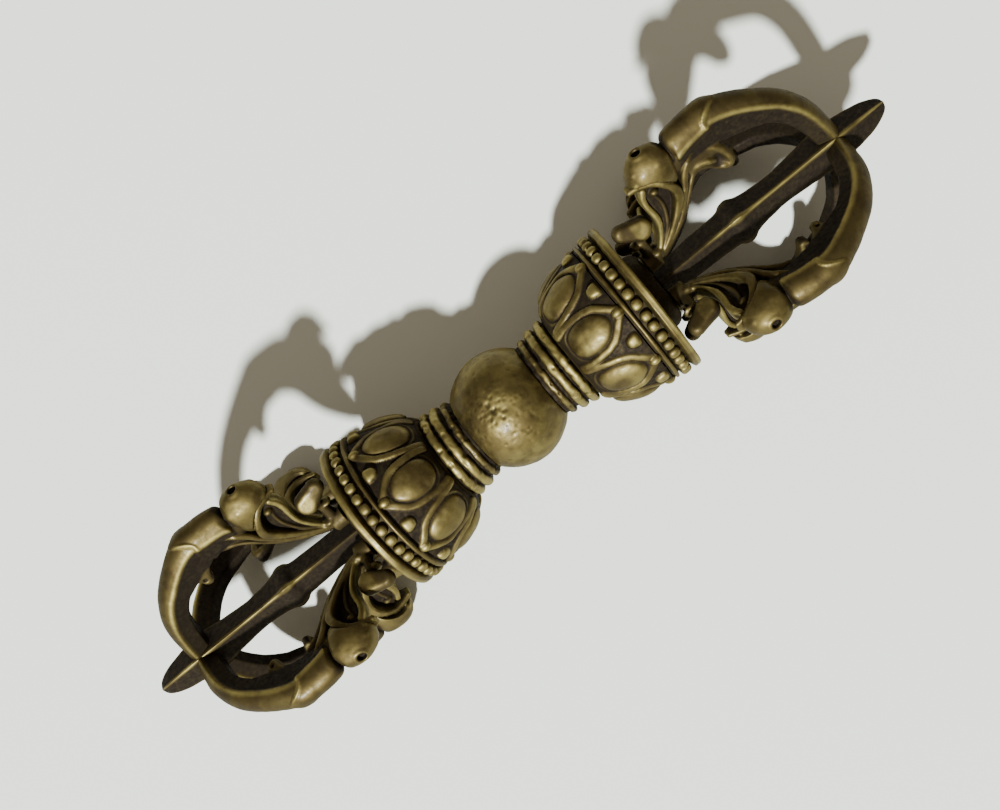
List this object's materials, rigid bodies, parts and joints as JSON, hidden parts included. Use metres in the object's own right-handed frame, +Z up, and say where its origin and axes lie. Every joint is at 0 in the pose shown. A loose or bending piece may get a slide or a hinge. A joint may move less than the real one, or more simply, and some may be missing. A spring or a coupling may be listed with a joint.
{
  "type": "vajra",
  "caption": "Cast brass vajra: a ball grip between two lotus cups, each holding a square central prong inside a cage of four makara-headed prongs.",
  "frame": {"origin": "on the resting plane, straight under the middle of the hub ball", "axes": "+X along the long axis, +Y across it, +Z up from the surface that the lower heads rest on"},
  "size_m": [0.14, 0.032, 0.0319],
  "materials": {
    "hub_brass": "antique brass, pitted and dull",
    "cup_brass": "antique brass, dark in its recesses and bright on its petals",
    "rim_brass": "antique brass, bright on the lip and beads",
    "prong_brass": "antique brass, worn bright on its ridges",
    "spine_brass": "dark brown antique brass with bright edges",
    "seat_brass": "nearly black brass that is sheltered from wear",
    "rod_brass": "plain turned brass"
  },
  "bodies": {
    "root": {"tie_rod": "rod_brass", "hub_ball": "hub_brass", "right_neck_collar": "hub_brass", "right_lotus_cup": "cup_brass", "right_rim_ring": "rim_brass", "right_prong_seat": "seat_brass", "right_central_prong": "spine_brass", "right_makara_prong_1": "prong_brass", "right_makara_prong_2": "prong_brass", "right_makara_prong_3": "prong_brass", "right_makara_prong_4": "prong_brass", "left_neck_collar": "hub_brass", "left_lotus_cup": "cup_brass", "left_rim_ring": "rim_brass", "left_prong_seat": "seat_brass", "left_central_prong": "spine_brass", "left_makara_prong_1": "prong_brass", "left_makara_prong_2": "prong_brass", "left_makara_prong_3": "prong_brass", "left_makara_prong_4": "prong_brass"}
  },
  "joints": []
}
